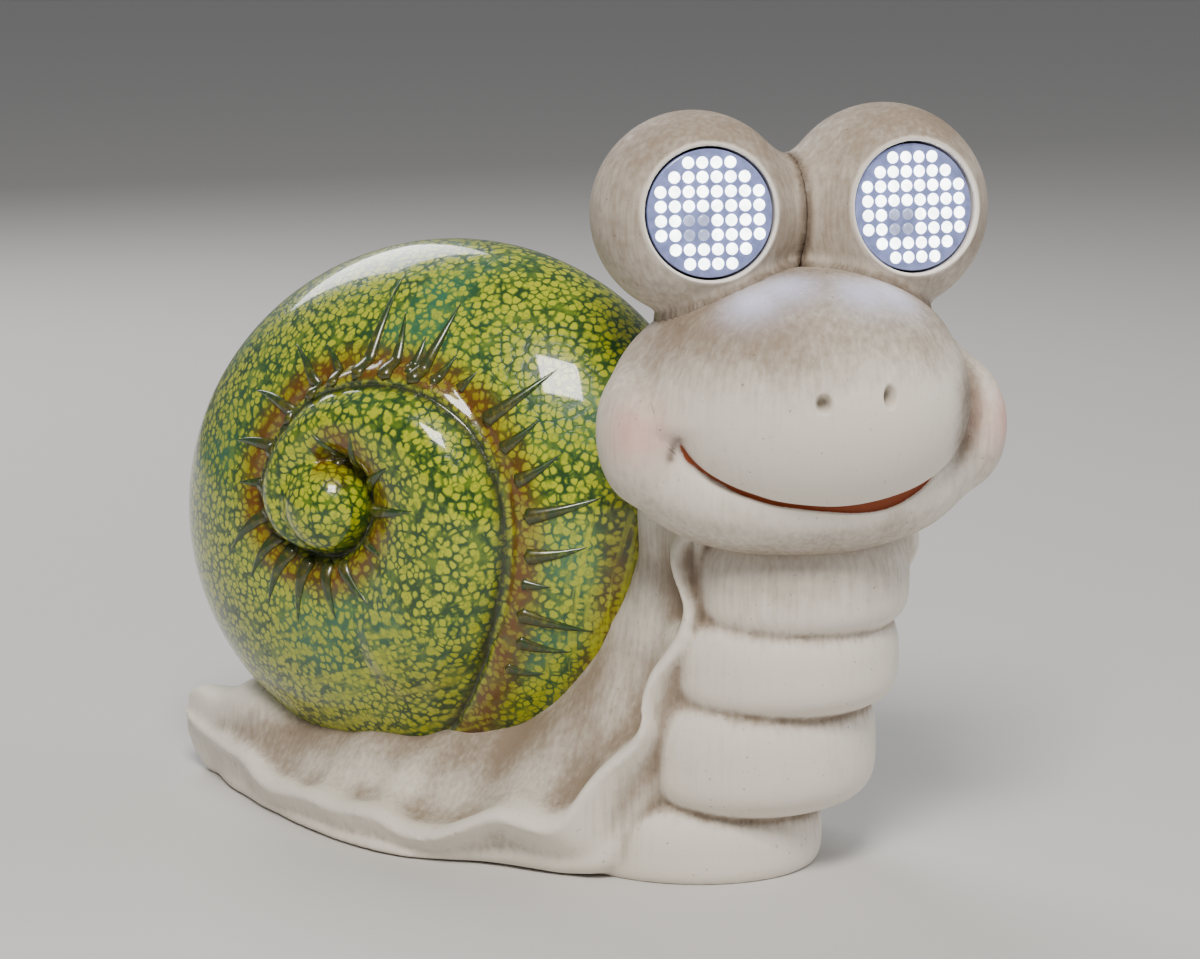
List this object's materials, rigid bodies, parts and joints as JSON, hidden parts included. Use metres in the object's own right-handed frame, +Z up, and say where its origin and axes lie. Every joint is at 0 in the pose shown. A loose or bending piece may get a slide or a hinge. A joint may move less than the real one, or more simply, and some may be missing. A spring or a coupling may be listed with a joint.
{
  "type": "snail figurine",
  "caption": "Garden snail figurine with a green spiral shell and a light in each eye ball, standing on its flat foot.",
  "frame": {"origin": "on the flat base under the figure, at mount base", "axes": "+Z up, the snail looks along -Y with its tail at +Y, and its right side is -X"},
  "size_m": [0.1499, 0.3419, 0.2691],
  "materials": {
    "body_ceramic": "matte, brown wash in the creases and pale dry-brushed highlights",
    "shell_glaze": "gloss glaze, yellow-green spots on dark green with amber along the whorl",
    "housing_plastic": "smooth moulded",
    "lens_clear": "clear moulded lens with a pattern of lenslets",
    "led_resin": "clear resin",
    "reflector_white": "white moulded",
    "board_green": "solder mask",
    "cell_sleeve": "shrink sleeve",
    "plated_steel": "nickel plated",
    "seal_rubber": "soft matte",
    "window_clear": "clear",
    "solar_blue": "dark blue cells under clear resin",
    "switch_black": "moulded",
    "knob_grey": "moulded",
    "lead_red": "insulated wire"
  },
  "bodies": {
    "figure": {"body": "body_ceramic", "head": "body_ceramic", "shell": "shell_glaze", "eye_ball_right": "body_ceramic", "eye_ball_left": "body_ceramic"},
    "lamp_right": {"housing_right": "housing_plastic", "rear_cap_right": "housing_plastic", "cap_screws_right": "plated_steel", "lens_right": "lens_clear", "seal_ring_right": "seal_rubber", "led_board_right": "board_green", "led_right": "led_resin", "reflector_right": "reflector_white", "cell_right": "cell_sleeve", "cell_clips_right": "plated_steel", "solar_window_right": "window_clear", "solar_cell_right": "solar_blue", "switch_body_right": "switch_black", "leads_right": "lead_red"},
    "knob_right": {"switch_knob_right": "knob_grey"},
    "lamp_left": {"housing_left": "housing_plastic", "rear_cap_left": "housing_plastic", "cap_screws_left": "plated_steel", "lens_left": "lens_clear", "seal_ring_left": "seal_rubber", "led_board_left": "board_green", "led_left": "led_resin", "reflector_left": "reflector_white", "cell_left": "cell_sleeve", "cell_clips_left": "plated_steel", "solar_window_left": "window_clear", "solar_cell_left": "solar_blue", "switch_body_left": "switch_black", "leads_left": "lead_red"},
    "knob_left": {"switch_knob_left": "knob_grey"}
  },
  "joints": [
    {"name": "lamp_right_pull_out", "type": "slide", "parent": "figure", "child": "lamp_right", "axis": [-0.7032, -0.7032, 0.1045], "range_m": [0, 0.06]},
    {"name": "switch_right_slide", "type": "slide", "parent": "lamp_right", "child": "knob_right", "axis": [0.7071, -0.7071, 0], "range_m": [0, 0.0024]},
    {"name": "lamp_left_pull_out", "type": "slide", "parent": "figure", "child": "lamp_left", "axis": [-0.5985, -0.7943, 0.1045], "range_m": [0, 0.06]},
    {"name": "switch_left_slide", "type": "slide", "parent": "lamp_left", "child": "knob_left", "axis": [0.7986, -0.6018, 0], "range_m": [0, 0.0024]}
  ]
}
